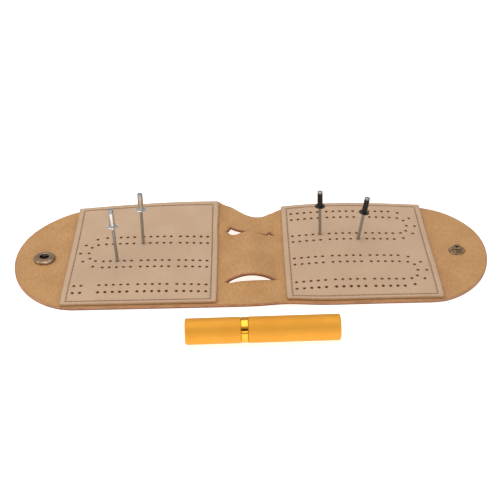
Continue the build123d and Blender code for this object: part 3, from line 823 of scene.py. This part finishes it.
for side, word in ((LEFT, "left"), (RIGHT, "right")):
    wing, flap_body = f"{word}_wing", f"{word}_flap"
    inner = spine_leather(side, f"leather_spine_{word}")
    dress(inner, (STRAP_TOP, STRAP_EDGE, STRAP_UNDER, HOLE_WALL))
    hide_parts(*(("spine_front", "spine_back") if side == LEFT else ("keeper_band",)))
    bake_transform(inner)

    outer = end_leather(side, f"leather_flap_{word}")
    dress(outer, (STRAP_TOP, STRAP_EDGE, STRAP_UNDER, HOLE_WALL))
    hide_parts(f"strap_{word}", f"flap_{word}")
    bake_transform(outer)

    face = panel_leather(side, f"panel_face_{word}")
    dress(face, (PANEL_GRAIN, PANEL_EDGE, PANEL_UNDER, HOLE_WALL))
    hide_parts(f"panel_{word}")
    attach(face, wing)

    stitches = thread(side, f"thread_{word}")
    dress(stitches, (THREAD,))
    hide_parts(f"stitching_{word}")
    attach(stitches, wing)

# ---- metal pieces, kept from the CAD ---------------------------------------------------------
BRASS = metal("antique_brass", srgb(182, 154, 126), srgb(104, 82, 64), 0.32, 500, 0.7)
SPRING = metal("spring_wire", srgb(120, 110, 98), srgb(70, 62, 54), 0.35, 900, 0.6)
ALUMINIUM = metal("bright_aluminium", srgb(212, 210, 208), srgb(184, 182, 182), 0.18, 700, 0.5)
STEEL = metal("mandrel_steel", srgb(176, 178, 178), srgb(140, 140, 138), 0.3, 600, 0.6,
              (500, 500, 4000), 0.00002)
GOLD = metal("gold_anodised", srgb(234, 168, 60), srgb(230, 162, 56), 0.58, 60, 0.5, metallic=0.7)
COLLAR = metal("polished_gold", srgb(244, 182, 64), srgb(232, 168, 54), 0.07, 300, 0.3)


def black_enamel():
    s = Shader("black_enamel", Coat_Weight=0.3, Coat_Roughness=0.1, Specular_IOR_Level=0.4)
    place = s.add("TexCoord").outputs["Object"]
    orange = s.noise(place, 1500, 2.0)
    tone = s.blend(orange, srgb(10, 10, 12), srgb(20, 20, 23))
    return s.out(Base_Color=tone, Roughness=s.span(orange, 0.3, 0.7, 0.22, 0.34),
                 Normal=s.bump(orange, 0.00003))


BLACK = black_enamel()
# painted shade: the snap cap gets a darkened brass, standing in for the shade inside the socket
# and under the flap
PAINTED_SHADE_BRASS = metal("brass_with_painted_shade", srgb(74, 58, 46), srgb(44, 34, 28), 0.4, 500, 0.7)
LOOKS = {"snap_cap": PAINTED_SHADE_BRASS, "snap_socket": BRASS, "snap_eyelet": BRASS, "snap_stud": BRASS,
         "snap_spring": SPRING, "tube_body": GOLD, "tube_cap": GOLD, "tube_collar": COLLAR,
         "tube_sleeve": COLLAR}
for colour, look in (("silver", ALUMINIUM), ("black", BLACK)):
    for place in ("front", "back"):
        LOOKS[f"peg_{colour}_{place}_body"] = look
        LOOKS[f"peg_{colour}_{place}_mandrel"] = STEEL
for node, look in LOOKS.items():
    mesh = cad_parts[node].data
    mesh.materials.clear()
    mesh.materials.append(look)
    mesh.polygons.foreach_set("use_smooth", np.ones(len(mesh.polygons), bool))
    mesh.set_sharp_from_angle(angle=SHARP_METAL)

# ---- table, light and camera -----------------------------------------------------------------
def floor():
    bpy.ops.mesh.primitive_plane_add(size=FLOOR_SIZE, location=(0, 0, -0.0002))
    piece = bpy.context.object
    piece.name = "floor"
    s = Shader("pale_floor", Base_Color=(0.86, 0.86, 0.86, 1), Roughness=0.9,
               Specular_IOR_Level=0.0, Emission_Color=(1, 1, 1, 1), Emission_Strength=FLOOR_GLOW)
    piece.data.materials.append(s.material)


def area_light(name, place, target, size, power):
    data = bpy.data.lights.new(name, "AREA")
    data.shape = "RECTANGLE"
    data.size, data.size_y = size
    data.energy = power
    light = bpy.data.objects.new(name, data)
    bpy.context.scene.collection.objects.link(light)
    light.location = place
    light.rotation_euler = (Vector(target) - Vector(place)).to_track_quat("-Z", "Y").to_euler()


def dark_card(place, facing, size):
    """A black card behind the camera, for polished metal to mirror as a dark core."""
    bpy.ops.mesh.primitive_plane_add(size=size, location=place)
    piece = bpy.context.object
    piece.name = "dark_card"
    piece.rotation_euler = facing.to_track_quat("Z", "Y").to_euler()
    piece.data.materials.append(Shader("card_black", Base_Color=(0.01, 0.01, 0.01, 1)).material)
    piece.visible_camera = False


FLOOR_SIZE, FLOOR_GLOW, WORLD_STRENGTH, CARD_SIZE = 6, 0.7, 0.51, 0.26
floor()
area_light("overhead", (-0.15, 0.1, 1.1), (0, 0, 0), (1.3, 1.0), 6.1)
area_light("front_fill", (0.2, -1.0, 0.5), (0, 0, 0.01), (1.2, 0.5), 2.0)
area_light("left_side", (-1.0, 0.0, 0.5), (0, 0, 0.01), (0.5, 0.8), 1.7)
world = bpy.data.worlds.new("studio")
bpy.context.scene.world = world
world.use_nodes = True
world.node_tree.nodes["Background"].inputs["Color"].default_value = (1, 1, 1, 1)
world.node_tree.nodes["Background"].inputs["Strength"].default_value = WORLD_STRENGTH

PITCH, ROLL = math.radians(33.0), math.radians(-1.2)
CAMERA_DISTANCE, LENS, SENSOR = 0.616, 74.95, 36.0
LOOK_AT = Vector((-0.00036, BOARD_Y - 0.0004, 0.0049))
ahead = Vector((0, math.cos(PITCH), -math.sin(PITCH)))
right, up = Vector((1, 0, 0)), Vector((0, math.sin(PITCH), math.cos(PITCH)))
rolled_right = math.cos(ROLL) * right + math.sin(ROLL) * up
rolled_up = math.cos(ROLL) * up - math.sin(ROLL) * right
camera = bpy.data.objects.new("camera", bpy.data.cameras.new("camera"))
bpy.context.scene.collection.objects.link(camera)
camera.data.lens, camera.data.sensor_width = LENS, SENSOR
camera.data.clip_start, camera.data.clip_end = 0.02, 20
turn = Matrix((rolled_right, rolled_up, -ahead)).transposed().to_4x4()
camera.matrix_world = Matrix.Translation(LOOK_AT - ahead * CAMERA_DISTANCE) @ turn
bpy.context.scene.camera = camera
dark_card(LOOK_AT - ahead * (CAMERA_DISTANCE + 0.1), ahead, CARD_SIZE)
bpy.context.scene.view_settings.view_transform = "Standard"
